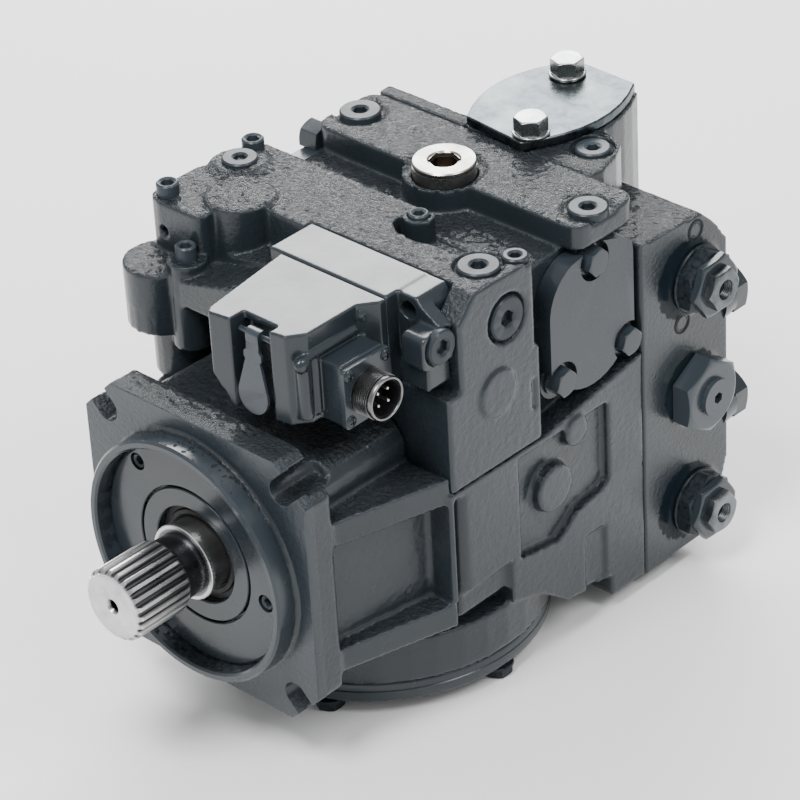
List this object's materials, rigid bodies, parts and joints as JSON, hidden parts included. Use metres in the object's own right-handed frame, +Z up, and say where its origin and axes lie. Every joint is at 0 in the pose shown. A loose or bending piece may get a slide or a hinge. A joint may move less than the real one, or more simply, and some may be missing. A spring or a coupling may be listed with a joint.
{
  "type": "axial piston pump",
  "caption": "Variable axial piston pump with square bolt flange, splined shaft, servo-driven swashplate, electric displacement control, relief cartridges and charge pump",
  "frame": {"origin": "middle of the pump's footprint, at the height of the bottom cover's bolt heads, on which it stands", "axes": "+Y runs back from the splined shaft's end to the charge pump's cover, +Z is up, and +X is the side with the valve cartridges and the servo cover"},
  "size_m": [0.211, 0.3586, 0.2435],
  "materials": {
    "slate_paint": "glossy slate-blue enamel over rough sand castings and machined faces",
    "ground_steel": "ground and polished steel",
    "blackened_steel": "black-oxide steel under a thin coat of enamel",
    "bearing_bronze": "turned bearing bronze",
    "zinc_plate": "bright zinc plating",
    "seal_rubber": "moulded nitrile rubber",
    "nickel_plate": "nickel-plated steel, slightly dulled"
  },
  "bodies": {
    "pump_case": {"front_bearing": "ground_steel", "valve_plate": "bearing_bronze", "rear_bearing": "bearing_bronze", "trunnion_bearing_upper": "bearing_bronze", "trunnion_bearing_lower": "bearing_bronze", "shaft_seal": "seal_rubber", "seal_carrier": "slate_paint", "housing": "slate_paint", "control_block": "slate_paint", "bottom_cover": "slate_paint", "end_cap": "slate_paint", "charge_pump_cover": "slate_paint", "servo_cover_right": "slate_paint", "servo_cover_left": "slate_paint", "servo_cover_bolt_1": "slate_paint", "servo_cover_bolt_2": "slate_paint", "servo_cover_bolt_3": "slate_paint", "charge_relief_valve": "slate_paint", "control_cover": "slate_paint", "control_adapter": "slate_paint", "bottom_cover_bolt_1": "blackened_steel", "bottom_cover_bolt_2": "blackened_steel", "bottom_cover_bolt_3": "blackened_steel", "bottom_cover_bolt_4": "blackened_steel", "relief_valve_upper": "blackened_steel", "relief_valve_lower": "blackened_steel", "port_cover_plate": "zinc_plate", "port_cover_bolt_1": "zinc_plate", "port_cover_bolt_2": "zinc_plate", "top_plug": "nickel_plate", "connector": "nickel_plate"},
    "rotor": {"drive_shaft": "ground_steel", "cylinder_block": "ground_steel", "block_spring": "ground_steel", "retainer_guide": "ground_steel", "gerotor_inner": "ground_steel"},
    "swash": {"swashplate": "ground_steel"},
    "servo": {"servo_piston": "ground_steel"},
    "retainer": {"slipper_retainer": "ground_steel"},
    "gerotor_ring": {"gerotor_outer": "ground_steel"},
    "spool": {"control_spool": "ground_steel"},
    "flap": {"override_flap": "nickel_plate"},
    "piston_1_body": {"piston_1": "ground_steel"},
    "slipper_1_body": {"slipper_1": "bearing_bronze"},
    "piston_2_body": {"piston_2": "ground_steel"},
    "slipper_2_body": {"slipper_2": "bearing_bronze"},
    "piston_3_body": {"piston_3": "ground_steel"},
    "slipper_3_body": {"slipper_3": "bearing_bronze"},
    "piston_4_body": {"piston_4": "ground_steel"},
    "slipper_4_body": {"slipper_4": "bearing_bronze"},
    "piston_5_body": {"piston_5": "ground_steel"},
    "slipper_5_body": {"slipper_5": "bearing_bronze"},
    "piston_6_body": {"piston_6": "ground_steel"},
    "slipper_6_body": {"slipper_6": "bearing_bronze"},
    "piston_7_body": {"piston_7": "ground_steel"},
    "slipper_7_body": {"slipper_7": "bearing_bronze"},
    "piston_8_body": {"piston_8": "ground_steel"},
    "slipper_8_body": {"slipper_8": "bearing_bronze"},
    "piston_9_body": {"piston_9": "ground_steel"},
    "slipper_9_body": {"slipper_9": "bearing_bronze"}
  },
  "joints": [
    {"name": "shaft_spin", "type": "hinge", "parent": "pump_case", "child": "rotor", "pos_m": [-0.0045, -0.1217, 0.1], "axis": [0, 1, 0], "continuous": true},
    {"name": "swash_tilt", "type": "hinge", "parent": "pump_case", "child": "swash", "pos_m": [-0.0045, -0.0057, 0.1], "axis": [0, 0, 1], "range_deg": [-17, 17], "stiffness_Nm_per_rad": 30},
    {"name": "servo_slide", "type": "slide", "parent": "pump_case", "child": "servo", "axis": [1, 0, 0], "range_m": [-0.0203, 0.0203]},
    {"name": "retainer_spin", "type": "hinge", "parent": "swash", "child": "retainer", "pos_m": [-0.0045, -0.0057, 0.1], "axis": [0, 1, 0], "continuous": true},
    {"name": "gerotor_outer_spin", "type": "hinge", "parent": "pump_case", "child": "gerotor_ring", "pos_m": [-0.0021, 0.1473, 0.1], "axis": [0, 1, 0], "continuous": true},
    {"name": "slipper_1_spin", "type": "hinge", "parent": "retainer", "child": "slipper_1_body", "pos_m": [0.03537, -0.0057, 0.1], "axis": [0, 1, 0], "continuous": true},
    {"name": "slipper_2_spin", "type": "hinge", "parent": "retainer", "child": "slipper_2_body", "pos_m": [0.02604, -0.0057, 0.12563], "axis": [0, 1, 0], "continuous": true},
    {"name": "slipper_3_spin", "type": "hinge", "parent": "retainer", "child": "slipper_3_body", "pos_m": [0.00242, -0.0057, 0.13926], "axis": [0, 1, 0], "continuous": true},
    {"name": "slipper_4_spin", "type": "hinge", "parent": "retainer", "child": "slipper_4_body", "pos_m": [-0.02443, -0.0057, 0.13453], "axis": [0, 1, 0], "continuous": true},
    {"name": "slipper_5_spin", "type": "hinge", "parent": "retainer", "child": "slipper_5_body", "pos_m": [-0.04197, -0.0057, 0.11364], "axis": [0, 1, 0], "continuous": true},
    {"name": "slipper_6_spin", "type": "hinge", "parent": "retainer", "child": "slipper_6_body", "pos_m": [-0.04197, -0.0057, 0.08636], "axis": [0, 1, 0], "continuous": true},
    {"name": "slipper_7_spin", "type": "hinge", "parent": "retainer", "child": "slipper_7_body", "pos_m": [-0.02444, -0.0057, 0.06547], "axis": [0, 1, 0], "continuous": true},
    {"name": "slipper_8_spin", "type": "hinge", "parent": "retainer", "child": "slipper_8_body", "pos_m": [0.00242, -0.0057, 0.06074], "axis": [0, 1, 0], "continuous": true},
    {"name": "slipper_9_spin", "type": "hinge", "parent": "retainer", "child": "slipper_9_body", "pos_m": [0.02604, -0.0057, 0.07437], "axis": [0, 1, 0], "continuous": true},
    {"name": "piston_1_tilt", "type": "hinge", "parent": "slipper_1_body", "child": "piston_1_body", "pos_m": [0.03537, -0.0057, 0.1], "axis": [0, 0, 1], "range_deg": [-17.5, 17.5]},
    {"name": "piston_2_tilt", "type": "hinge", "parent": "slipper_2_body", "child": "piston_2_body", "pos_m": [0.02604, -0.0057, 0.12563], "axis": [0, 0, 1], "range_deg": [-17.5, 17.5]},
    {"name": "piston_3_tilt", "type": "hinge", "parent": "slipper_3_body", "child": "piston_3_body", "pos_m": [0.00242, -0.0057, 0.13926], "axis": [0, 0, 1], "range_deg": [-17.5, 17.5]},
    {"name": "piston_4_tilt", "type": "hinge", "parent": "slipper_4_body", "child": "piston_4_body", "pos_m": [-0.02443, -0.0057, 0.13453], "axis": [0, 0, 1], "range_deg": [-17.5, 17.5]},
    {"name": "piston_5_tilt", "type": "hinge", "parent": "slipper_5_body", "child": "piston_5_body", "pos_m": [-0.04197, -0.0057, 0.11364], "axis": [0, 0, 1], "range_deg": [-17.5, 17.5]},
    {"name": "piston_6_tilt", "type": "hinge", "parent": "slipper_6_body", "child": "piston_6_body", "pos_m": [-0.04197, -0.0057, 0.08636], "axis": [0, 0, 1], "range_deg": [-17.5, 17.5]},
    {"name": "piston_7_tilt", "type": "hinge", "parent": "slipper_7_body", "child": "piston_7_body", "pos_m": [-0.02444, -0.0057, 0.06547], "axis": [0, 0, 1], "range_deg": [-17.5, 17.5]},
    {"name": "piston_8_tilt", "type": "hinge", "parent": "slipper_8_body", "child": "piston_8_body", "pos_m": [0.00242, -0.0057, 0.06074], "axis": [0, 0, 1], "range_deg": [-17.5, 17.5]},
    {"name": "piston_9_tilt", "type": "hinge", "parent": "slipper_9_body", "child": "piston_9_body", "pos_m": [0.02604, -0.0057, 0.07437], "axis": [0, 0, 1], "range_deg": [-17.5, 17.5]},
    {"name": "spool_slide", "type": "slide", "parent": "pump_case", "child": "spool", "axis": [1, 0, 0], "range_m": [-0.0025, 0.0025], "stiffness_N_per_m": 4000},
    {"name": "flap_swing", "type": "hinge", "parent": "pump_case", "child": "flap", "pos_m": [0.024, -0.1017, 0.221], "axis": [1, 0, 0], "range_deg": [-35, 5]}
  ],
  "couplings": [
    {"joint": "servo_slide", "follows": "swash_tilt", "m_per_rad": -0.06799},
    {"joint": "retainer_spin", "follows": "shaft_spin", "ratio": 1},
    {"joint": "gerotor_outer_spin", "follows": "shaft_spin", "ratio": 0.85714},
    {"joint": "slipper_1_spin", "follows": "shaft_spin", "ratio": -1},
    {"joint": "slipper_2_spin", "follows": "shaft_spin", "ratio": -1},
    {"joint": "slipper_3_spin", "follows": "shaft_spin", "ratio": -1},
    {"joint": "slipper_4_spin", "follows": "shaft_spin", "ratio": -1},
    {"joint": "slipper_5_spin", "follows": "shaft_spin", "ratio": -1},
    {"joint": "slipper_6_spin", "follows": "shaft_spin", "ratio": -1},
    {"joint": "slipper_7_spin", "follows": "shaft_spin", "ratio": -1},
    {"joint": "slipper_8_spin", "follows": "shaft_spin", "ratio": -1},
    {"joint": "slipper_9_spin", "follows": "shaft_spin", "ratio": -1},
    {"joint": "piston_1_tilt", "follows": "swash_tilt", "ratio": -1},
    {"joint": "piston_2_tilt", "follows": "swash_tilt", "ratio": -1},
    {"joint": "piston_3_tilt", "follows": "swash_tilt", "ratio": -1},
    {"joint": "piston_4_tilt", "follows": "swash_tilt", "ratio": -1},
    {"joint": "piston_5_tilt", "follows": "swash_tilt", "ratio": -1},
    {"joint": "piston_6_tilt", "follows": "swash_tilt", "ratio": -1},
    {"joint": "piston_7_tilt", "follows": "swash_tilt", "ratio": -1},
    {"joint": "piston_8_tilt", "follows": "swash_tilt", "ratio": -1},
    {"joint": "piston_9_tilt", "follows": "swash_tilt", "ratio": -1}
  ]
}
